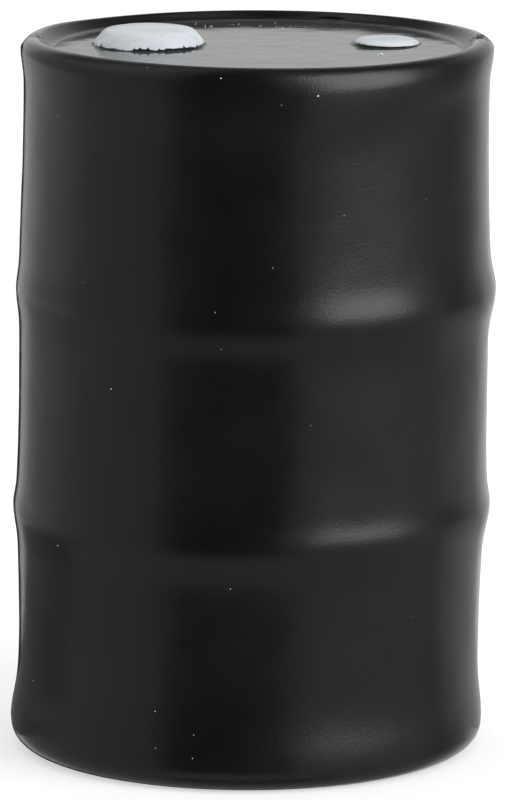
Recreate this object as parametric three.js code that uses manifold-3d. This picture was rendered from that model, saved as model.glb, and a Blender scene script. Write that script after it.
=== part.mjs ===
// Oil drum stress toy: a squeezable foam moulding in the shape of a small oil drum.
// Millimetres, +Z up along the drum's axis, the origin on the table under its centre.
// The large bung stands to the left of the axis and the small bung to its right, both a little behind it.
//
// The toy is one casting. Foam rises in a closed mould, and where it meets the mould it packs into a
// dense black skin. The bungs are swellings of that skin with a thin coat of pale paint.

import * as THREE from 'three';
import { mergeVertices } from 'three/addons/utils/BufferGeometryUtils.js';
import Module from 'manifold-3d';

// ---------- driving dimensions (mm) ----------
const HEIGHT = 85.0;
const WALL_RADIUS = 27.65;
const SKIN = 1.2; // thickness of the dense skin
const BOND_GAP = 0.1; // clearance that stands for the bond line between two pieces

const HOOPS = [
  { z: 28.9, height: 0.8, widthBelow: 4.6, widthAbove: 4.0 },
  { z: 55.0, height: 0.9, widthBelow: 3.2, widthAbove: 5.6 },
];
const HOOP_REACH = 1.6; // a hoop is drawn out to this many of its widths

const FOOT = { radius: 28.2, cornerRadius: 3.0, flareHeight: 7.0 };
const LIP = { radius: 27.85, outerRound: 1.4, flareHeight: 4.0 };
const HEAD = { radius: 24.2, depth: 1.1 }; // the recessed top, inside the lip

const LARGE_BUNG = { x: -12.8, y: 2.6, baseRadius: 6.6, height: 2.1 };
const SMALL_BUNG = { x: 15.2, y: 3.2, baseRadius: 4.2, height: 0.6 };
const BUNG_SIDE = { height: 0.76, radius: 0.78 }; // where the sloping side ends, as shares of the bung
const CROWN_STEPS = 4;
const PAINT = { thickness: 0.15, hem: 0.15 }; // the coat, and how far it stops above the head

const GATE = { radius: 3.0, recess: 0.4 }; // where the mould was filled, in the middle of the foot

const DRUM_SEGMENTS = 48;
const BUNG_SEGMENTS = 24;

// ---------- materials ----------
const skinMaterial = new THREE.MeshStandardMaterial({ color: 0x16171a, roughness: 0.5, metalness: 0 });
const foamMaterial = new THREE.MeshStandardMaterial({ color: 0x35363a, roughness: 0.95, metalness: 0 });
const paintMaterial = new THREE.MeshStandardMaterial({ color: 0xb4c3d2, roughness: 0.45, metalness: 0 });

// ---------- profile helpers: a point is (radius, z) ----------
const point = (r, z) => new THREE.Vector2(r, z);

// Points on a round corner about (r, z), from one angle to another in degrees.
function arc(r, z, radius, fromDeg, toDeg, steps) {
  const points = [];
  for (let i = 0; i <= steps; i++) {
    const angle = THREE.MathUtils.degToRad(THREE.MathUtils.lerp(fromDeg, toDeg, i / steps));
    points.push(point(r + radius * Math.cos(angle), z + radius * Math.sin(angle)));
  }
  return points;
}

// A bell curve that falls from 1 at 0 towards 0 on both sides.
const bell = (distance, width) => Math.exp(-((distance / width) ** 2));

// How far the wall stands out beyond its plain radius at height z, from its hoops and its two flares.
function wallSwell(z) {
  let swell = 0;
  for (const hoop of HOOPS) {
    const width = z > hoop.z ? hoop.widthAbove : hoop.widthBelow;
    swell += hoop.height * bell(z - hoop.z, width);
  }
  const lipBottom = HEIGHT - LIP.outerRound;
  swell += (FOOT.radius - WALL_RADIUS) * bell(Math.max(z - FOOT.cornerRadius, 0), FOOT.flareHeight / 2);
  swell += (LIP.radius - WALL_RADIUS) * bell(Math.max(lipBottom - z, 0), LIP.flareHeight / 2);
  return swell;
}

// The wall's outline from its foot to its lip, moved inwards by inset. It has points along each flare
// and on both sides of each hoop.
function wallOutline(inset, hoopSteps, flareSteps) {
  const heights = [];
  for (let i = 1; i <= flareSteps; i++) {
    heights.push(FOOT.cornerRadius + (FOOT.flareHeight * i) / flareSteps);
  }
  for (const hoop of HOOPS) {
    for (let i = -hoopSteps; i <= hoopSteps; i++) {
      const width = i > 0 ? hoop.widthAbove : hoop.widthBelow;
      heights.push(hoop.z + (width * HOOP_REACH * i) / hoopSteps);
    }
  }
  for (let i = flareSteps; i >= 1; i--) {
    heights.push(HEIGHT - LIP.outerRound - (LIP.flareHeight * i) / flareSteps);
  }
  return heights.map((z) => point(WALL_RADIUS + wallSwell(z) - inset, z));
}

// The inner side of the lip: a smooth slope from the crest down to the edge of the head.
function lipSlope(steps) {
  const crest = LIP.radius - LIP.outerRound;
  const points = [];
  for (let i = 1; i <= steps; i++) {
    const drop = (1 - Math.cos((Math.PI * i) / steps)) / 2;
    points.push(point(THREE.MathUtils.lerp(crest, HEAD.radius, i / steps), HEIGHT - HEAD.depth * drop));
  }
  return points;
}

// The outline of the space that lies inset within the drum, from its floor to the axis at its ceiling.
function innerOutline(inset) {
  const ceiling = HEIGHT - HEAD.depth - inset;
  const cornerAxis = FOOT.radius - FOOT.cornerRadius;
  return [
    ...arc(cornerAxis, FOOT.cornerRadius, FOOT.cornerRadius - inset, -90, 0, 3),
    ...wallOutline(inset, 2, 2),
    point(LIP.radius - LIP.outerRound - inset, ceiling),
    point(0, ceiling),
  ];
}

// ---------- booleans ----------
const wasm = await Module();
wasm.setup();

// A closed three.js geometry as a solid, with only positions kept and shared corners merged.
function toSolid(geometry) {
  const bare = geometry.clone();
  bare.deleteAttribute('normal');
  bare.deleteAttribute('uv');
  const merged = mergeVertices(bare, 1e-4);
  const mesh = new wasm.Mesh({
    numProp: 3,
    vertProperties: new Float32Array(merged.attributes.position.array),
    triVerts: new Uint32Array(merged.index.array),
  });
  return new wasm.Manifold(mesh);
}

// A solid back as a three.js geometry with flat normals.
function toGeometry(solid) {
  const mesh = solid.getMesh();
  const geometry = new THREE.BufferGeometry();
  geometry.setAttribute('position', new THREE.BufferAttribute(mesh.vertProperties, 3));
  geometry.setIndex(new THREE.BufferAttribute(mesh.triVerts, 1));
  const flat = geometry.toNonIndexed();
  flat.computeVertexNormals();
  return flat;
}

// Turn an outline about the Z axis.
function turn(outline, segments) {
  const geometry = new THREE.LatheGeometry(outline, segments);
  return geometry.rotateX(Math.PI / 2);
}

// ---------- sub-parts ----------
// A bung's surface above the head, from its base to its top: a sloping side under a low crown. Grow
// moves the whole surface outwards.
function bungSurface(bung, grow) {
  const sideRadius = bung.baseRadius * BUNG_SIDE.radius;
  const sideHeight = bung.height * BUNG_SIDE.height;
  const points = [];
  for (let i = 0; i <= CROWN_STEPS; i++) {
    const turned = (Math.PI / 2) * (i / CROWN_STEPS);
    const rise = (bung.height - sideHeight) * Math.sin(turned);
    points.push(point((sideRadius + grow) * Math.cos(turned), sideHeight + rise + grow));
  }
  points[CROWN_STEPS].x = 0;
  return points;
}

function bungSolid(bung) {
  const root = -SKIN / 2;
  const outline = [
    point(0, root),
    point(bung.baseRadius, root),
    point(bung.baseRadius, 0),
    ...bungSurface(bung, 0),
  ];
  return toSolid(turn(outline, BUNG_SEGMENTS).translate(bung.x, bung.y, HEIGHT - HEAD.depth));
}

// The skin's outside: flat foot, round corner, wall with hoops, lip, and the recessed head.
function skinOutside() {
  const headZ = HEIGHT - HEAD.depth;
  const lipAxis = LIP.radius - LIP.outerRound;
  return [
    point(0, 0),
    ...arc(FOOT.radius - FOOT.cornerRadius, FOOT.cornerRadius, FOOT.cornerRadius, -90, 0, 5),
    ...wallOutline(0, 4, 3),
    ...arc(lipAxis, HEIGHT - LIP.outerRound, LIP.outerRound, 0, 90, 5),
    ...lipSlope(5),
    point(0, headZ),
  ];
}

// The round hole in the foot that the gate leaves.
function gateHole() {
  const outline = [
    point(0, -SKIN),
    point(GATE.radius, -SKIN),
    point(GATE.radius, 2 * SKIN),
    point(0, 2 * SKIN),
  ];
  return toSolid(turn(outline, BUNG_SEGMENTS));
}

function outerSkin() {
  const body = toSolid(turn(skinOutside(), DRUM_SEGMENTS));
  const cavity = toSolid(turn([point(0, SKIN), ...innerOutline(SKIN)], DRUM_SEGMENTS));
  const solid = body
    .add(bungSolid(LARGE_BUNG))
    .add(bungSolid(SMALL_BUNG))
    .subtract(cavity)
    .subtract(gateHole());
  return new THREE.Mesh(toGeometry(solid), skinMaterial);
}

// The soft core fills the skin, and the stub of the filling gate stands down into the foot's hole.
function foamCore() {
  const inset = SKIN + BOND_GAP;
  const stubRadius = GATE.radius - BOND_GAP;
  const outline = [
    point(0, GATE.recess),
    point(stubRadius, GATE.recess),
    point(stubRadius, inset),
    ...innerOutline(inset),
  ];
  return new THREE.Mesh(turn(outline, DRUM_SEGMENTS), foamMaterial);
}

// The paint on a bung: a thin cap over the swelling that stops a little above the head.
function bungPaint(bung) {
  const coat = (grow) => [point(bung.baseRadius + grow, PAINT.hem), ...bungSurface(bung, grow)];
  const outline = [...coat(BOND_GAP).reverse(), ...coat(BOND_GAP + PAINT.thickness)];
  const mesh = new THREE.Mesh(turn(outline, BUNG_SEGMENTS), paintMaterial);
  mesh.position.set(bung.x, bung.y, HEIGHT - HEAD.depth);
  return mesh;
}

// ---------- assembly ----------
const toy = new THREE.Group();
const pieces = {
  outer_skin: outerSkin(),
  foam_core: foamCore(),
  large_bung_paint: bungPaint(LARGE_BUNG),
  small_bung_paint: bungPaint(SMALL_BUNG),
};
for (const [name, mesh] of Object.entries(pieces)) {
  mesh.name = name;
  toy.add(mesh);
}

export default toy;
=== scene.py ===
"""The looks of a foam oil drum stress toy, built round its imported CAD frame.

The toy is one soft moulding: a black foam skin with two hoops, a rounded lip round a recessed top, and
two bung swellings under brushed-on paint. Lengths are metres, +Z is up and -Y is the toy's front.
"""

import math
import random

import bmesh
import bpy
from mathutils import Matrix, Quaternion, Vector, noise


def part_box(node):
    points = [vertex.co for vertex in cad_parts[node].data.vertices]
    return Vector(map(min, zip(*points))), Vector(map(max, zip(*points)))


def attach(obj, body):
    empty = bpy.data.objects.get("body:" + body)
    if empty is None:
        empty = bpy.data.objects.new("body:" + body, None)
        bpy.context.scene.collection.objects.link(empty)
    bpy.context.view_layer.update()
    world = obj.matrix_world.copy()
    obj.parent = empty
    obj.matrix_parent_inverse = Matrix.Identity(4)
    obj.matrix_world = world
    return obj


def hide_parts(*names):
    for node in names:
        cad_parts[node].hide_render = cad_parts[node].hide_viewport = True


MM = 0.001

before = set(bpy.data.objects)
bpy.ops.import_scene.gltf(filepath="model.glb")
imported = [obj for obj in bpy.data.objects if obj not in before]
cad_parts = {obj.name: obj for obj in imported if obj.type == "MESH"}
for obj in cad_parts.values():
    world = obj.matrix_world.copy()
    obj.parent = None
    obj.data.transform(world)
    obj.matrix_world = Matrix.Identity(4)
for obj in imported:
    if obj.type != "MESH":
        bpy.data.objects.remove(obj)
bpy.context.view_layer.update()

# ---------- the drum's sizes ----------
HEIGHT = 84.85 * MM
SEAM_Y = 0.5 * MM  # the mould parts along the drum's two sides, a little behind its middle

WALL_RADIUS = 27.5 * MM
BELLY = 0.37 * MM  # how much fuller the wall is between the hoops
BELLY_TO_RIGHT = 0.12 * MM
BELLY_WIDTH = 11 * MM
HOOP_TO_RIGHT_WIDTH = 4 * MM

# A hoop's crest stands proud of the plain wall. On each side it falls away in a sharp step of some
# height and width, and then in a long soft slope.
HOOPS = [
    {
        "z": 28.9 * MM,
        "crest": 0.98 * MM,
        "to_right": 0.10 * MM,
        "below": {"step": 0.60 * MM, "step_width": 3.0 * MM, "slope_width": 9.0 * MM},
        "above": {"step": 0.36 * MM, "step_width": 1.9 * MM, "slope_width": 5.5 * MM},
    },
    {
        "z": 54.9 * MM,
        "crest": 1.01 * MM,
        "to_right": 0.24 * MM,
        "below": {"step": 0.53 * MM, "step_width": 2.8 * MM, "slope_width": 5.0 * MM},
        "above": {"step": 0.50 * MM, "step_width": 2.6 * MM, "slope_width": 11.0 * MM},
    },
]

FOOT_RADIUS = 28.25 * MM
FOOT_CORNER = 2.7 * MM
FOOT_FLARE = 4.3 * MM
FOOT_TO_LEFT = 0.14 * MM  # the foot spreads further to the toy's left
CREST_RADIUS = 26.3 * MM  # the lip's highest ring
LIP_RADIUS = 27.92 * MM
HEAD_DEPTH = 1.1 * MM

# Sizes of the lip that differ between the drum's two sides, where the mould parts, and its front and
# back.
LIP_DROP = {"side": 1.5 * MM, "front": 3.3 * MM}  # from the crest down to where the lip is widest
LIP_FLARE = {"side": 2.2 * MM, "front": 5.0 * MM}
SLOPE_WIDTH = {"side": 2.4 * MM, "front": 1.7 * MM}  # from the crest in to the head
SLOPE_TOE = {"side": 1.0, "front": 2.0}  # above 1 the slope starts steeply and ends in a long fillet

HEAD_Z = HEIGHT - HEAD_DEPTH
MIDDLE_Z = (HOOPS[0]["z"] + HOOPS[1]["z"]) / 2
SKIN_THICKNESS = 1.2 * MM
GATE_RADIUS = 3.0 * MM
GATE_RECESS = 0.4 * MM
BOND_GAP = 0.1 * MM  # between the skin's hidden inside and the foam

LEAN = 0.0114  # the soft toy leans to its right: metres across for each metre up
TOP_TILT = 0.002  # its top is a little higher on the right

# The lip isn't quite level. Each wave rises by some height at an angle from the toy's right, in degrees,
# and dies out down the wall.
LIP_WAVES = [
    {"angle": -150, "width": 48, "height": 0.33 * MM},
    {"angle": 0, "width": 22, "height": 0.22 * MM},
    {"angle": -60, "width": 22, "height": -0.10 * MM},
    {"angle": 156, "width": 14, "height": 0.17 * MM},
]
LIP_WAVE_END = {"below_top": 6 * MM, "height": 5 * MM}

# Where the mould's halves meet across the lip, it is pinched down, with a slanting crease in the pinch
# and small crinkles round it.
LIP_PINCH = {"depth": 0.10 * MM, "width": 2.5 * MM}
LIP_CREASE = {"depth": 0.06 * MM, "width": 0.4 * MM, "slant": 0.12}
LIP_CRINKLES = {"left": 0.08 * MM, "right": 0.20 * MM, "width": 2.2 * MM, "grain": 0.9 * MM}
SEAM_RIDGE = {"height": 0.07 * MM, "width": 0.22 * MM}  # the fine raised line down both sides
FOLD = {
    "angle": 68.4,
    "length": 1.3 * MM,
    "above_head": 0.30 * MM,
    "breadth": 0.16 * MM,
    "depth": 0.45 * MM,
}

# Unevenness of the soft skin and the torn foam: height, and the size across of one rise or hollow.
WALL_DENTS = [(0.05 * MM, 16 * MM), (0.012 * MM, 4 * MM)]
HEAD_DENTS = (0.03 * MM, 7 * MM)
TORN_DENTS = (0.15 * MM, 0.7 * MM)

AROUND = 480  # divisions round the drum
OUTLINE_STEPS = [("foot", 14), ("corner", 16), ("wall", 140), ("lip", 24), ("slope", 24), ("head", 170)]
SEAM_CROWDING = 0.85  # how strongly the divisions gather at the two seams


def bung_from(node, height, foot):
    """The place and size of a bung's swelling, from the box of its CAD paint. foot says how high the
    swelling's steep foot is, and how far it spreads past the box."""
    low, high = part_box(node)
    centre = (low + high) / 2
    return {
        "x": centre.x,
        "y": centre.y,
        "radius": (high.x - low.x) / 2 + foot["spread"],
        "height": height,
        "foot": foot["height"],
    }


LARGE_BUNG = bung_from("large_bung_paint", 2.2 * MM, {"height": 0.06 * MM, "spread": -0.10 * MM})
SMALL_BUNG = bung_from("small_bung_paint", 0.68 * MM, {"height": 0.06 * MM, "spread": -0.25 * MM})
BUNG_FOOT_WIDTH = 0.25 * MM
BUNG_SIDE = {"height": 0.78, "radius": 0.79}  # where the sloping side ends, as shares of the bung
BUNG_CROWN_POWER = 2.4
BUNG_SHOULDER = 0.16  # how softly the side turns into the crown

# The paint brushed over each bung: the share of the bung's radius that it covers, and how far from the
# bung's middle it was brushed.
LARGE_COAT = {"reach": 0.988, "shift": (-0.04 * MM, -0.03 * MM)}
SMALL_COAT = {"reach": 0.925, "shift": (0.18 * MM, -0.06 * MM)}
PAINT_COAT = 0.10 * MM
PAINT_BITE = 0.05 * MM  # how deep the coat's edge sinks into the skin
PAINT_STREAKS = {"height": 0.025 * MM, "size": 0.9 * MM, "stretch": (0.3, 3)}
PAINT_WAVER = {"share": 0.015, "size": 1.6 * MM}  # how ragged the coat's edge is
PAINT_CHIPS = {"share": 0.05, "size": 0.45 * MM, "threshold": 0.15}
PAINT_AROUND = 360
PAINT_RINGS = 56

# Crumbs of dried paint: on the wall by degrees from the front, height and size, and on the head by x, y
# and size.
WALL_CRUMBS = [
    (14.4, 81.8 * MM, 0.27 * MM),
    (-8.7, 83.7 * MM, 0.16 * MM),
    (-36.0, 46.9 * MM, 0.18 * MM),
    (-53.0, 27.2 * MM, 0.20 * MM),
    (-4.6, 24.4 * MM, 0.15 * MM),
    (4.3, 62.0 * MM, 0.14 * MM),
    (-23.0, 9.3 * MM, 0.15 * MM),
    (-67.0, 9.5 * MM, 0.17 * MM),
    (-13.0, 6.9 * MM, 0.14 * MM),
    (-13.0, 4.2 * MM, 0.14 * MM),
]
HEAD_CRUMBS = [
    (14.5 * MM, -6.0 * MM, 0.60 * MM),
    (14.1 * MM, -6.8 * MM, 0.26 * MM),
    (-3.4 * MM, 2.4 * MM, 0.26 * MM),
    (4.6 * MM, -0.6 * MM, 0.26 * MM),
    (16.4 * MM, -3.1 * MM, 0.20 * MM),
]
SPATTER = {
    "middles": [(-6.5 * MM, 19.5 * MM), (2.5 * MM, 19.5 * MM)],
    "count": 12,
    "spread": (1.3 * MM, 1.8 * MM),
    "sizes": (0.07 * MM, 0.18 * MM),
}

# ---------- the looks ----------
SKIN_BLACKS = [(0.3, (0.0022, 0.0022, 0.0025)), (0.7, (0.0036, 0.0035, 0.0034))]
HEAD_GREY_COLOUR = (0.062, 0.066, 0.068)  # a lighter grey over the head and whatever else faces up
DUST_COLOUR = (0.16, 0.16, 0.15)
ROUGHNESS = {"face_on": 0.31, "edge_on": 0.12, "blotches": 0.02, "head_polish": 0.06}
SCUFF_DEPTH = 0.008 * MM
PEBBLE_DEPTH = 0.011 * MM
PEBBLE_ON_HEAD = 0.2  # the share of its depth that the grain keeps on the head

PAINT_COLOURS = [(0.32, (0.44, 0.485, 0.52)), (0.62, (0.56, 0.585, 0.595))]
PIT_COLOUR = (0.05, 0.05, 0.05)
PIT_DEPTH = 0.03 * MM
BRUSH_DEPTH = 0.05 * MM

# The torn foam's dull greys: the colour darkens into the hollows of its cells as painted shade.
FOAM_GREYS_WITH_CELL_SHADE = [(0, (0.008, 0.008, 0.009)), (1, (0.05, 0.05, 0.055))]
FOAM_CELL_DEPTH = 0.12 * MM

# ---------- the studio ----------
CAMERA_ELEVATION = 10.576
CAMERA_DISTANCE = 0.7663
CAMERA_ORBIT_Z = 43 * MM  # the height on the axis that the camera stands back from
CAMERA_AIM = (0.66 * MM, 0, 41.4 * MM)
CAMERA_ROLL = 0.196
CAMERA_LENS = 289.2
FLOOR_SIZE = 12
CARD_DISTANCE = 2.0
FLOOR_CARD_Z = 0.2 * MM
WATTS_FOR_RADIANCE = 4  # what an area light of one square metre takes to glow with a radiance of 1


# ---------- small mathematics ----------
def bell(distance, width):
    """Falls from 1 at no distance towards 0 on both sides."""
    return math.exp(-((distance / width) ** 2))


def smooth(t):
    """Eases from 0 at t = 0 to 1 at t = 1."""
    t = min(max(t, 0.0), 1.0)
    return t * t * (3 - 2 * t)


def mix(a, b, t):
    return a + (b - a) * t


def soft_min(a, b, blend):
    """The smaller of two values, with the corner between them rounded over blend."""
    overlap = max(blend - abs(a - b), 0.0) / blend
    return min(a, b) - overlap * overlap * blend / 4


def rough_noise(point, scale):
    """Soft noise from about -1 to 1, with features about scale metres across. It is the same in every
    run."""
    fall_off, lacunarity, octaves = 1.0, 2.0, 3
    return noise.fractal(Vector(point) / scale, fall_off, lacunarity, octaves)


# ---------- the drum's outline ----------
def around(sizes, angle):
    """A size that eases from its value at the drum's two sides to its value at the front and back."""
    return mix(sizes["side"], sizes["front"], math.sin(angle) ** 2)


def plain_radius(z):
    """The wall without its hoops and flares: a little fuller between the hoops than outside them."""
    low, high = HOOPS[0]["z"], HOOPS[1]["z"]
    return WALL_RADIUS + (BELLY if low < z < high else 0.0)


def hoop_side(z, hoop):
    """A hoop's swell at height z. It is the same at the crest from either side."""
    side = hoop["above"] if z > hoop["z"] else hoop["below"]
    across = z - hoop["z"]
    slope = WALL_RADIUS + hoop["crest"] - plain_radius(z) - side["step"]
    return side["step"] * bell(across, side["step_width"]) + slope * bell(across, side["slope_width"])


def wall_radius(z, angle):
    """The wall's radius at a height and an angle, with its hoops and its two flares."""
    swell = hoop_side(z, HOOPS[0]) if z < MIDDLE_Z else hoop_side(z, HOOPS[1])
    swell += (FOOT_RADIUS - WALL_RADIUS) * bell(max(z - FOOT_CORNER, 0), FOOT_FLARE)
    wall_top = HEIGHT - around(LIP_DROP, angle)
    swell += (LIP_RADIUS - WALL_RADIUS) * bell(max(wall_top - z, 0), around(LIP_FLARE, angle))
    return plain_radius(z) + swell


def sideways_swell(z):
    """How much further the wall stands out on the toy's right than the outline says."""
    swell = BELLY_TO_RIGHT * bell(z - MIDDLE_Z, BELLY_WIDTH)
    swell -= FOOT_TO_LEFT * bell(z - FOOT_CORNER, FOOT_FLARE)
    for hoop in HOOPS:
        swell += hoop["to_right"] * bell(z - hoop["z"], HOOP_TO_RIGHT_WIDTH)
    return swell


def outline_place(part, t, angle):
    """The outline's radius and height at share t along one of its parts, from the gate to the axis."""
    foot_flat = FOOT_RADIUS - FOOT_CORNER
    turned = math.pi / 2 * t
    drop = around(LIP_DROP, angle)
    slope = around(SLOPE_WIDTH, angle)
    if part == "foot":
        return mix(GATE_RADIUS, foot_flat, t), 0.0
    if part == "corner":
        return foot_flat + FOOT_CORNER * math.sin(turned), FOOT_CORNER * (1 - math.cos(turned))
    if part == "wall":
        z = mix(FOOT_CORNER, HEIGHT - drop, t)
        return wall_radius(z, angle), z
    if part == "lip":
        return mix(CREST_RADIUS, LIP_RADIUS, math.cos(turned)), HEIGHT - drop * (1 - math.sin(turned))
    if part == "slope":
        fallen = 1 - (1 - t) ** around(SLOPE_TOE, angle)
        return CREST_RADIUS - slope * t, HEIGHT - HEAD_DEPTH * (1 - math.cos(math.pi * fallen)) / 2
    return (CREST_RADIUS - slope) * (1 - t), HEAD_Z


def bung_swell(bung, x, y):
    """The height of a bung's swelling over the head: a steep foot, a sloping side and a low crown."""
    across = math.hypot(x - bung["x"], y - bung["y"]) / bung["radius"]
    if across >= 1:
        return 0.0
    side = BUNG_SIDE["height"] * (1 - across) / (1 - BUNG_SIDE["radius"])
    crown = 1 - (1 - BUNG_SIDE["height"]) * (across / BUNG_SIDE["radius"]) ** BUNG_CROWN_POWER
    foot = bung["foot"] * smooth((1 - across) * bung["radius"] / BUNG_FOOT_WIDTH)
    return foot + (bung["height"] - bung["foot"]) * max(soft_min(side, crown, BUNG_SHOULDER), 0.0)


def head_height(x, y):
    """The height of the recessed head, with the two bungs standing on it."""
    return HEAD_Z + bung_swell(LARGE_BUNG, x, y) + bung_swell(SMALL_BUNG, x, y)


def leaned(point):
    """The finished place of a point of the straight drum: leaned over and tilted at the top."""
    x = point.x + LEAN * point.z
    z = point.z + TOP_TILT * x * point.z / HEIGHT
    return Vector((x, point.y, z))


def lip_pinch(x, y, z):
    """How far the lip sinks at the drum's two sides, where the mould's halves meet across it."""
    height = smooth((z - (HEIGHT - LIP_DROP["side"])) / LIP_DROP["side"])
    across = y - SEAM_Y
    broad = LIP_PINCH["depth"] * bell(across, LIP_PINCH["width"])
    slant = LIP_CREASE["slant"] * abs(abs(x) - LIP_RADIUS)
    crease = LIP_CREASE["depth"] * bell(across - slant, LIP_CREASE["width"])
    crinkle = LIP_CRINKLES["right" if x > 0 else "left"] * bell(across, LIP_CRINKLES["width"])
    crinkle *= rough_noise((x, y, z), LIP_CRINKLES["grain"])
    return height * (broad + crease + crinkle)


def lip_wave(z, angle):
    """How far the lip stands above its level at an angle round the drum."""
    wave = 0.0
    for one in LIP_WAVES:
        away = (math.degrees(angle) - one["angle"] + 180) % 360 - 180
        wave += one["height"] * bell(away, one["width"])
    return wave * smooth((z - HEIGHT + LIP_WAVE_END["below_top"]) / LIP_WAVE_END["height"])


def lip_fold(z, angle):
    """How deep the short fold is that is pushed into the lip's inner slope at the back."""
    along = (angle - math.radians(FOLD["angle"])) * CREST_RADIUS
    across = z - HEAD_Z - FOLD["above_head"]
    return FOLD["depth"] * bell(along, FOLD["length"]) * bell(across, FOLD["breadth"])


def seam_ridge(y):
    """The fine raised line that the joint of the mould's halves leaves down both sides."""
    return SEAM_RIDGE["height"] * bell(y - SEAM_Y, SEAM_RIDGE["width"])


def dented(place, dents):
    """How far the skin stands proud or hollow at a place, for one (height, size) of unevenness."""
    height, size = dents
    return height * rough_noise(place, size)


def outside_point(part, t, angle):
    """A point of the finished skin, at share t along a part of the outline."""
    radius, z = outline_place(part, t, angle)
    cosine, sine = math.cos(angle), math.sin(angle)
    x, y = radius * cosine, radius * sine
    if part in ("corner", "wall", "lip"):
        radius += sideways_swell(z) * cosine + sum(dented((x, y, z), dents) for dents in WALL_DENTS)
        if radius > CREST_RADIUS:
            radius += seam_ridge(y) * min((radius - CREST_RADIUS) / MM, 1)
    if part == "slope":
        radius += lip_fold(z, angle)
    x, y = radius * cosine, radius * sine
    wave = lip_wave(z, angle)
    if part in ("lip", "slope"):
        z -= lip_pinch(x, y, z)
    if part == "slope":
        wave *= (z - HEAD_Z) / HEAD_DEPTH
    if part == "head":
        wave = 0
        z = head_height(x, y) + dented((x, y, z), HEAD_DENTS)
    return leaned(Vector((x, y, z + wave)))


# ---------- meshes ----------
def add_object(name, mesh):
    piece = bpy.data.objects.new(name, mesh)
    bpy.context.scene.collection.objects.link(piece)
    return piece


def mesh_from(name, bm):
    bmesh.ops.recalc_face_normals(bm, faces=bm.faces)
    mesh = bpy.data.meshes.new(name)
    bm.to_mesh(mesh)
    bm.free()
    mesh.shade_smooth()
    return mesh


def bridge(bm, ring_a, ring_b):
    """Quads between two rings of as many vertices, or triangles where a ring is a single vertex."""
    count = max(len(ring_a), len(ring_b))
    for i in range(count):
        j = (i + 1) % count
        edge_a = [ring_a[i % len(ring_a)], ring_a[j % len(ring_a)]]
        edge_b = [ring_b[j % len(ring_b)], ring_b[i % len(ring_b)]]
        bm.faces.new(list(dict.fromkeys(edge_a + edge_b)))


def bridge_all(bm, rings):
    """Faces from each ring to the next."""
    for lower, upper in zip(rings, rings[1:]):
        bridge(bm, lower, upper)


def skin_angles():
    """Angles round the drum, close together at the two seams and wider apart between them."""
    seam_turn = math.asin(SEAM_Y / WALL_RADIUS)
    angles = []
    for i in range(AROUND):
        even = 2 * math.pi * i / AROUND
        angles.append(even - SEAM_CROWDING * math.sin(2 * even) / 2 + seam_turn * math.cos(even))
    return angles


def wall_point(z, angle):
    """A point of the finished wall or lip at about height z."""
    drop = around(LIP_DROP, angle)
    if z < HEIGHT - drop:
        return outside_point("wall", (z - FOOT_CORNER) / (HEIGHT - drop - FOOT_CORNER), angle)
    return outside_point("lip", math.asin(1 - (HEIGHT - z) / drop) / (math.pi / 2), angle)


def leaned_ring(bm, radius, z, angles):
    """A plain ring of vertices round the leaned axis."""
    places = [Vector((radius * math.cos(angle), radius * math.sin(angle), z)) for angle in angles]
    return [bm.verts.new(leaned(place)) for place in places]


def skin_outside(bm, angles):
    rings = []
    for part, steps in OUTLINE_STEPS:
        for i in range(steps):
            rings.append([bm.verts.new(outside_point(part, i / steps, angle)) for angle in angles])
    rings.append([bm.verts.new(outside_point("head", 1.0, 0.0))])
    return rings


def skin_inside(bm, angles):
    """Rings of a plain inner face, about one skin thickness in from the outside."""
    outline = [
        (GATE_RADIUS, SKIN_THICKNESS),
        (FOOT_RADIUS - FOOT_CORNER, SKIN_THICKNESS),
        (WALL_RADIUS - SKIN_THICKNESS, FOOT_CORNER),
        (WALL_RADIUS - SKIN_THICKNESS, HEAD_Z - 2 * SKIN_THICKNESS),
        (WALL_RADIUS - 3 * SKIN_THICKNESS, HEAD_Z - SKIN_THICKNESS),
    ]
    rings = [leaned_ring(bm, radius, z, angles) for radius, z in outline]
    rings.append([bm.verts.new(leaned(Vector((0, 0, HEAD_Z - SKIN_THICKNESS))))])
    return rings


def make_skin():
    """The black skin: a closed shell round the foam, with the gate's hole through it under the foot."""
    bm = bmesh.new()
    angles = skin_angles()
    outside = skin_outside(bm, angles)
    inside = skin_inside(bm, angles)
    bridge_all(bm, outside)
    bridge(bm, outside[0], inside[0])
    bridge_all(bm, inside)
    return add_object("drum_skin", mesh_from("drum_skin", bm))


def paint_radius(bung, reach, along):
    """How far the paint reaches in a direction from the bung's middle: its edge is ragged and chipped."""
    place = along * bung["radius"] + Vector((bung["x"], 0, 0))
    ragged = 1 + PAINT_WAVER["share"] * rough_noise(place, PAINT_WAVER["size"])
    chipped = max(rough_noise(place, PAINT_CHIPS["size"]) - PAINT_CHIPS["threshold"], 0)
    return bung["radius"] * reach * (ragged - PAINT_CHIPS["share"] * chipped)


def paint_streak(x, y):
    """The height of a brush mark in the paint. The marks run from side to side."""
    stretch = PAINT_STREAKS["stretch"]
    place = (x * stretch[0], y * stretch[1], 0)
    return PAINT_STREAKS["height"] * rough_noise(place, PAINT_STREAKS["size"])


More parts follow.
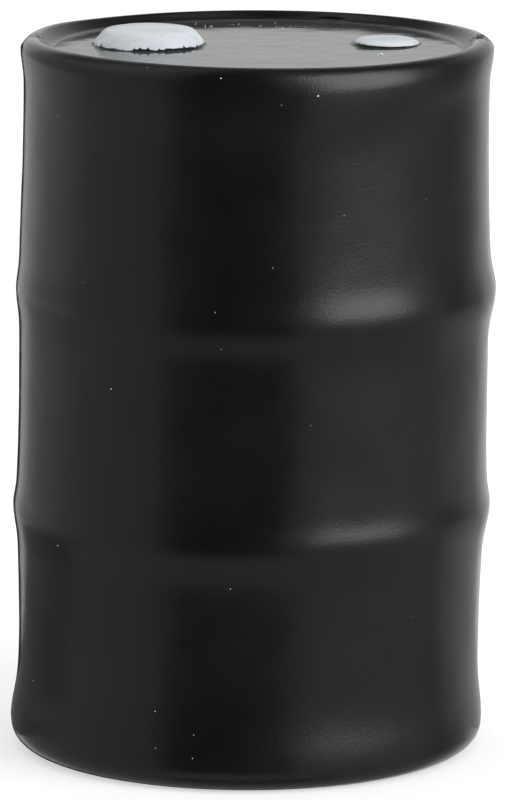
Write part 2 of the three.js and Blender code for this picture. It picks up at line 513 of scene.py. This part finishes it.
def make_paint(name, bung, coat):
    """Paint brushed over a bung: a thin coat that is a closed shell."""
    bm = bmesh.new()
    tops, unders = [], []
    for s in range(PAINT_RINGS + 1):
        top_ring, under_ring = [], []
        edge = smooth((PAINT_RINGS - s) / 2)
        for i in range(PAINT_AROUND if s else 1):
            angle = 2 * math.pi * i / PAINT_AROUND
            along = Vector((math.cos(angle), math.sin(angle), 0))
            radius = paint_radius(bung, coat["reach"], along) * s / PAINT_RINGS
            x = bung["x"] + coat["shift"][0] + radius * along.x
            y = bung["y"] + coat["shift"][1] + radius * along.y
            z = head_height(x, y)
            top = Vector((x, y, z + mix(-PAINT_BITE, PAINT_COAT + paint_streak(x, y), edge)))
            top_ring.append(bm.verts.new(leaned(top)))
            under_ring.append(bm.verts.new(leaned(Vector((x, y, z - PAINT_BITE * 2)))))
        tops.append(top_ring)
        unders.append(under_ring)
    bridge_all(bm, tops)
    bridge_all(bm, unders)
    bridge(bm, tops[-1], unders[-1])
    return add_object(name, mesh_from(name, bm))


def add_crumb(bm, place, size, draw):
    """A lump of dried paint about size across, half sunk in the skin."""
    made = bmesh.ops.create_icosphere(bm, subdivisions=2, radius=size / 2)
    stretch = Vector((draw.uniform(0.7, 1.2), draw.uniform(0.7, 1.2), draw.uniform(0.5, 0.9)))
    for vert in made["verts"]:
        lump = 1 + 0.35 * rough_noise(vert.co + place, size / 2)
        vert.co = place + lump * vert.co * stretch


def make_crumbs():
    """Crumbs and spatter that the brush left on the wall and on the head."""
    draw = random.Random(5)
    bm = bmesh.new()
    for azimuth, z, size in WALL_CRUMBS:
        angle = math.radians(azimuth - 90)
        add_crumb(bm, wall_point(z, angle), size, draw)
    for x, y, size in HEAD_CRUMBS:
        add_crumb(bm, leaned(Vector((x, y, head_height(x, y)))), size, draw)
    spread_x, spread_y = SPATTER["spread"]
    for middle_x, middle_y in SPATTER["middles"]:
        for _ in range(SPATTER["count"]):
            x = draw.gauss(middle_x, spread_x)
            y = draw.gauss(middle_y, spread_y)
            size = draw.uniform(*SPATTER["sizes"])
            add_crumb(bm, leaned(Vector((x, y, head_height(x, y)))), size, draw)
    return add_object("paint_crumbs", mesh_from("paint_crumbs", bm))


def torn_stub(bm, angles, radius):
    """Rings of the stub's rough face, from its middle out to its edge."""
    steps = 8
    rings = [[bm.verts.new((0, 0, GATE_RECESS))]]
    for step in range(1, steps + 1):
        ring = []
        for angle in angles:
            across = radius * step / steps
            place = Vector((across * math.cos(angle), across * math.sin(angle), GATE_RECESS))
            place.z += dented(place, TORN_DENTS)
            ring.append(bm.verts.new(leaned(place)))
        rings.append(ring)
    return rings


def make_core():
    """The soft foam inside, whose torn stub shows in the gate under the foot."""
    bm = bmesh.new()
    divisions = 96
    angles = [2 * math.pi * i / divisions for i in range(divisions)]
    stub_radius = GATE_RADIUS - BOND_GAP
    inset = SKIN_THICKNESS + BOND_GAP
    inside, ceiling = WALL_RADIUS - inset, HEAD_Z - inset
    outline = [
        (stub_radius, inset),
        (FOOT_RADIUS - FOOT_CORNER - BOND_GAP, inset),
        (inside, FOOT_CORNER + BOND_GAP),
        (inside, ceiling - SKIN_THICKNESS),
        (inside - 2 * SKIN_THICKNESS, ceiling),
    ]
    rings = torn_stub(bm, angles, stub_radius)
    rings += [leaned_ring(bm, radius, z, angles) for radius, z in outline]
    rings.append([bm.verts.new(leaned(Vector((0, 0, ceiling))))])
    bridge_all(bm, rings)
    return add_object("foam_fill", mesh_from("foam_fill", bm))


# ---------- materials ----------
def new_material(name):
    material = bpy.data.materials.new(name)
    material.use_nodes = True
    tree = material.node_tree
    return material, tree, tree.nodes["Principled BSDF"]


def add_node(tree, kind, **settings):
    """A shader node, with values for its sockets and its own settings by name."""
    node = tree.nodes.new(kind)
    for key, value in settings.items():
        if key in node.inputs:
            node.inputs[key].default_value = value
        else:
            setattr(node, key, value)
    return node


def add_noise(tree, place, stretch, **settings):
    """Noise over the object's own metres, stretched by a scale for each axis."""
    mapping = add_node(tree, "ShaderNodeMapping", Scale=stretch)
    tree.links.new(place, mapping.inputs["Vector"])
    texture = add_node(tree, "ShaderNodeTexNoise", **settings)
    tree.links.new(mapping.outputs["Vector"], texture.inputs["Vector"])
    return texture.outputs["Fac"]


def add_range(tree, value, start, end):
    """Map a value from one pair of numbers to another, held at the ends."""
    node = add_node(tree, "ShaderNodeMapRange")
    node.inputs["From Min"].default_value, node.inputs["From Max"].default_value = start
    node.inputs["To Min"].default_value, node.inputs["To Max"].default_value = end
    tree.links.new(value, node.inputs["Value"])
    return node.outputs["Result"]


def add_math(tree, operation, a, b):
    node = add_node(tree, "ShaderNodeMath", operation=operation)
    for socket, value in zip(node.inputs, (a, b)):
        if isinstance(value, (int, float)):
            socket.default_value = value
        else:
            tree.links.new(value, socket)
    return node.outputs["Value"]


def add_colours(tree, factor, stops):
    """Colours along a factor, as (position, (red, green, blue)) stops."""
    ramp = add_node(tree, "ShaderNodeValToRGB")
    elements = ramp.color_ramp.elements
    while len(elements) < len(stops):
        elements.new(0.5)
    for element, (position, colour) in zip(elements, stops):
        element.position = position
        element.color = (*colour, 1)
    tree.links.new(factor, ramp.inputs["Fac"])
    return ramp.outputs["Color"]


def add_colour_mix(tree, factor, a, b):
    """The linked colour a where the factor is 0, and the plain colour b where it is 1."""
    node = add_node(tree, "ShaderNodeMix", data_type="RGBA")
    sockets = {socket.identifier: socket for socket in node.inputs}
    tree.links.new(factor, sockets["Factor_Float"])
    tree.links.new(a, sockets["A_Color"])
    sockets["B_Color"].default_value = (*b, 1)
    outputs = {socket.identifier: socket for socket in node.outputs}
    return outputs["Result_Color"]


def add_bump(tree, height, distance, under=None):
    """Bump of a real depth in metres for a height from 0 to 1, on top of another bump if one is given."""
    bump = add_node(tree, "ShaderNodeBump", Strength=1.0, Distance=distance)
    tree.links.new(height, bump.inputs["Height"])
    if under is not None:
        tree.links.new(under, bump.inputs["Normal"])
    return bump.outputs["Normal"]


def dust_mask(tree, place):
    """Sparse specks of dust, each no more than about 0.2 mm across."""
    cells = add_node(tree, "ShaderNodeTexVoronoi", Scale=260.0)
    tree.links.new(place, cells.inputs["Vector"])
    return add_range(tree, cells.outputs["Distance"], (0.015, 0.028), (1, 0))


def skin_colour(tree, place, on_head, scuffs, cloudy):
    """Black in soft blotches, a lighter grey on the head that varies with its scuffs, and dust."""
    blacks = add_colours(tree, cloudy, SKIN_BLACKS)
    # The head and whatever else faces up are a lighter grey, which varies with the scuffs.
    head_grey_share = add_math(tree, "MULTIPLY", on_head, add_range(tree, scuffs, (0.30, 0.70), (0.35, 1.0)))
    head_greyed = add_colour_mix(tree, head_grey_share, blacks, HEAD_GREY_COLOUR)
    return add_colour_mix(tree, dust_mask(tree, place), head_greyed, DUST_COLOUR)


def skin_roughness(tree, on_head, cloudy):
    """Smoother where the surface is seen edge on, and smoother still on the head."""
    edge_on = add_node(tree, "ShaderNodeLayerWeight", Blend=0.5).outputs["Facing"]
    gloss = add_range(tree, edge_on, (0.55, 0.90), (ROUGHNESS["face_on"], ROUGHNESS["edge_on"]))
    blotches = add_range(tree, cloudy, (0.3, 0.7), (-ROUGHNESS["blotches"], ROUGHNESS["blotches"]))
    polish = add_math(tree, "MULTIPLY", on_head, -ROUGHNESS["head_polish"])
    return add_math(tree, "ADD", add_math(tree, "ADD", gloss, blotches), polish)


def skin_bumps(tree, place, on_head, scuffs):
    """Scuffs on the head, under a pebble grain that is shallower there than on the wall."""
    under = add_bump(tree, add_math(tree, "MULTIPLY", scuffs, on_head), SCUFF_DEPTH)
    pebble = add_node(tree, "ShaderNodeTexVoronoi", Scale=3900.0, feature="SMOOTH_F1")
    tree.links.new(place, pebble.inputs["Vector"])
    kept = add_range(tree, on_head, (0, 1), (1, PEBBLE_ON_HEAD))
    grain = add_math(tree, "MULTIPLY", pebble.outputs["Distance"], kept)
    return add_bump(tree, grain, PEBBLE_DEPTH, under)


def skin_material():
    """Black foam skin. The head, and whatever else faces up, is scuffed from side to side."""
    material, tree, shader = new_material("foam_skin")
    link = tree.links.new
    place = add_node(tree, "ShaderNodeTexCoord").outputs["Object"]
    normal = add_node(tree, "ShaderNodeSeparateXYZ")
    link(add_node(tree, "ShaderNodeNewGeometry").outputs["True Normal"], normal.inputs["Vector"])
    on_head = add_range(tree, normal.outputs["Z"], (0.80, 0.96), (0, 1))
    scuffs = add_noise(tree, place, (0.12, 1, 1), Scale=1500.0, Detail=4.0)
    cloudy = add_noise(tree, place, (1, 1, 1), Scale=110.0, Detail=3.0)
    link(skin_colour(tree, place, on_head, scuffs, cloudy), shader.inputs["Base Color"])
    link(skin_roughness(tree, on_head, cloudy), shader.inputs["Roughness"])
    link(skin_bumps(tree, place, on_head, scuffs), shader.inputs["Normal"])
    return material


def paint_material():
    """Pale blue-grey paint, brushed on thinly, with streaks and small dark pits."""
    material, tree, shader = new_material("bung_paint")
    link = tree.links.new
    place = add_node(tree, "ShaderNodeTexCoord").outputs["Object"]
    streaks = add_noise(tree, place, (0.35, 1, 1), Scale=420.0, Detail=4.0)
    spots = add_noise(tree, place, (1, 1, 1), Scale=2600.0, Detail=2.0)
    pits = add_range(tree, spots, (0.71, 0.75), (0, 1))
    pale = add_colours(tree, streaks, PAINT_COLOURS)
    link(add_colour_mix(tree, pits, pale, PIT_COLOUR), shader.inputs["Base Color"])
    shader.inputs["Roughness"].default_value = 0.45
    hollow = add_bump(tree, add_math(tree, "SUBTRACT", 1.0, pits), PIT_DEPTH)
    link(add_bump(tree, streaks, BRUSH_DEPTH, hollow), shader.inputs["Normal"])
    return material


def foam_material():
    """Torn foam: a dull dark grey with small open cells, whose hollows are painted darker as shade."""
    material, tree, shader = new_material("torn_foam")
    link = tree.links.new
    place = add_node(tree, "ShaderNodeTexCoord").outputs["Object"]
    cells = add_node(tree, "ShaderNodeTexVoronoi", Scale=2200.0)
    link(place, cells.inputs["Vector"])
    cell_walls_and_shade = add_range(tree, cells.outputs["Distance"], (0.2, 0.6), (0, 1))
    # Painted shade: the hollows of the cells are darker than their walls.
    link(add_colours(tree, cell_walls_and_shade, FOAM_GREYS_WITH_CELL_SHADE), shader.inputs["Base Color"])
    shader.inputs["Roughness"].default_value = 0.9
    link(add_bump(tree, cell_walls_and_shade, FOAM_CELL_DEPTH), shader.inputs["Normal"])
    return material


def glowing_material(name, colour, strength):
    material = bpy.data.materials.new(name)
    material.use_nodes = True
    tree = material.node_tree
    tree.nodes.clear()
    glow = add_node(tree, "ShaderNodeEmission", Strength=strength)
    glow.inputs["Color"].default_value = (*colour, 1)
    output = add_node(tree, "ShaderNodeOutputMaterial")
    tree.links.new(glow.outputs["Emission"], output.inputs["Surface"])
    return material


# ---------- the stage ----------
def toward(azimuth, elevation, distance):
    """A place round the toy's middle. Azimuth 0 is in front, and it grows towards the toy's right."""
    a, e = math.radians(azimuth), math.radians(elevation)
    flat = math.cos(e) * distance
    return Vector((math.sin(a) * flat, -math.cos(a) * flat, math.sin(e) * distance + HEIGHT / 2))


def floor_material():
    """White acrylic lit a little from below, so that shadows on it stay faint."""
    material, _, shader = new_material("pale_floor")
    shader.inputs["Base Color"].default_value = (0.45, 0.45, 0.45, 1)
    shader.inputs["Roughness"].default_value = 0.9
    shader.inputs["Emission Color"].default_value = (1, 1, 1, 1)
    shader.inputs["Emission Strength"].default_value = 0.55
    return material


def make_floor():
    bpy.ops.mesh.primitive_plane_add(size=FLOOR_SIZE, location=(0, 0, 0))
    floor = bpy.context.object
    floor.name = "floor"
    floor.data.materials.append(floor_material())
    floor.visible_glossy = False


def only_reflected(card):
    """Keep a studio card out of sight, so that it only shapes what the glossy surfaces mirror."""
    card.visible_camera = False
    card.visible_diffuse = False
    card.visible_transmission = False
    card.visible_shadow = False


def add_card(name, azimuths, elevations, material):
    """A curved card far out round the toy, between two azimuths and two elevations in degrees."""
    bm = bmesh.new()
    columns, rows = 12, 8
    grid = []
    for i in range(columns + 1):
        azimuth = mix(*azimuths, i / columns)
        places = [toward(azimuth, mix(*elevations, j / rows), CARD_DISTANCE) for j in range(rows + 1)]
        grid.append([bm.verts.new(place) for place in places])
    for i in range(columns):
        for j in range(rows):
            bm.faces.new((grid[i][j], grid[i + 1][j], grid[i + 1][j + 1], grid[i][j + 1]))
    card = add_object(name, mesh_from(name, bm))
    card.data.materials.append(material)
    only_reflected(card)


def add_floor_card(name, azimuths, reach, material):
    """A card on the floor between two azimuths in degrees and two distances from the toy's axis."""
    bm = bmesh.new()
    columns = 12
    rings = []
    for distance in reach:
        ring = []
        for i in range(columns + 1):
            place = toward(mix(*azimuths, i / columns), 0, distance)
            ring.append(bm.verts.new((place.x, place.y, FLOOR_CARD_Z)))
        rings.append(ring)
    for i in range(columns):
        bm.faces.new((rings[0][i], rings[0][i + 1], rings[1][i + 1], rings[1][i]))
    card = add_object(name, mesh_from(name, bm))
    card.data.materials.append(material)
    only_reflected(card)


def add_softbox(azimuth, elevation, distance, size, radiance, colour):
    """A soft light out of the camera's sight, turned to face the toy's middle."""
    data = bpy.data.lights.new("softbox", "AREA")
    data.shape = "RECTANGLE"
    data.size, data.size_y = size
    data.energy = WATTS_FOR_RADIANCE * radiance * size[0] * size[1]
    data.color = colour
    light = bpy.data.objects.new("softbox", data)
    bpy.context.scene.collection.objects.link(light)
    light.location = toward(azimuth, elevation, distance)
    light.rotation_euler = (toward(0, 0, 0) - light.location).to_track_quat("-Z", "Y").to_euler()
    light.visible_camera = False


def make_studio():
    black = glowing_material("black_card", (1, 1, 1), 0.01)
    dark = glowing_material("dark_card", (1, 0.95, 0.90), 0.16)
    navy = glowing_material("navy_card", (0.35, 0.6, 1.0), 0.03)
    grey = glowing_material("grey_card", (1, 1, 1), 0.50)
    pale = glowing_material("pale_card", (1, 0.98, 0.95), 0.70)
    white = glowing_material("white_card", (1, 0.995, 0.97), 0.71)
    add_card("black_card_front", (-42, 22), (-22, 90), black)
    add_card("dark_card_above", (60, 250), (32, 90), dark)
    add_card("dark_card_below", (-60, 60), (-85, -52), dark)
    add_card("dark_card_right", (100, 124), (-30, 30), dark)
    add_card("navy_card_back", (176, 198), (-40, 1), navy)
    add_card("pale_card_high", (-130, -50), (28, 75), pale)
    add_card("pale_card_left", (-160, -145), (-40, 30), pale)
    add_card("backdrop_card_right", (140, 176), (-40, 1), white)
    add_card("backdrop_card", (140, 200), (1, 30), white)
    # Painted shadow: a dark card on the floor at the toy's back left, which the skin mirrors in place of
    # the toy's own shadow on the floor.
    add_floor_card("painted_shadow_card", (-136, -85), (0.03, 0.12), dark)
    add_floor_card("pale_floor_card", (-160, -95), (0.33, 1.2), pale)
    add_floor_card("grey_floor_card", (95, 140), (0.03, 0.32), grey)
    add_softbox(
        azimuth=55,
        elevation=26,
        distance=1.0,
        size=(0.83, 0.85),
        radiance=2.8,
        colour=(0.98, 0.98, 1.0),
    )


def make_world():
    """An even white room. What the toy mirrors of it is dimmer, as if it were hung with grey cloth."""
    lit, mirrored = 1.0, 0.40
    world = bpy.data.worlds.new("studio")
    bpy.context.scene.world = world
    world.use_nodes = True
    tree = world.node_tree
    background = tree.nodes["Background"]
    background.inputs["Color"].default_value = (0.99, 0.99, 1.0, 1)
    ray = add_node(tree, "ShaderNodeLightPath")
    strength = add_node(tree, "ShaderNodeMapRange")
    strength.inputs["To Min"].default_value = lit
    strength.inputs["To Max"].default_value = mirrored
    tree.links.new(ray.outputs["Is Glossy Ray"], strength.inputs["Value"])
    tree.links.new(strength.outputs["Result"], background.inputs["Strength"])


def make_camera():
    """A long lens from the front, looking down a little."""
    elevation = math.radians(CAMERA_ELEVATION)
    data = bpy.data.cameras.new("camera")
    data.lens = CAMERA_LENS
    data.sensor_width = 36
    camera = bpy.data.objects.new("camera", data)
    bpy.context.scene.collection.objects.link(camera)
    back = Vector((0, -math.cos(elevation), math.sin(elevation)))
    camera.location = Vector((0, 0, CAMERA_ORBIT_Z)) + back * CAMERA_DISTANCE
    turn = (Vector(CAMERA_AIM) - camera.location).to_track_quat("-Z", "Y")
    camera.rotation_mode = "QUATERNION"
    camera.rotation_quaternion = turn @ Quaternion((0, 0, 1), math.radians(CAMERA_ROLL))
    data.clip_start, data.clip_end = 0.01, 50
    bpy.context.scene.camera = camera


# ---------- putting it together ----------
skin = make_skin()
skin.data.materials.append(skin_material())
core = make_core()
core.data.materials.append(foam_material())
large_paint = make_paint("large_bung_coat", LARGE_BUNG, LARGE_COAT)
small_paint = make_paint("small_bung_coat", SMALL_BUNG, SMALL_COAT)
crumbs = make_crumbs()
paint = paint_material()
for painted in (large_paint, small_paint, crumbs):
    painted.data.materials.append(paint)

for piece, node, slot in (
    (skin, "outer_skin", "skin"),
    (core, "foam_core", "foam"),
    (large_paint, "large_bung_paint", "paint"),
    (small_paint, "small_bung_paint", "paint"),
):
    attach(piece, "root")
    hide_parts(node)
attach(crumbs, "root")

make_floor()
make_studio()
make_world()
make_camera()
bpy.context.scene.view_settings.view_transform = "Standard"
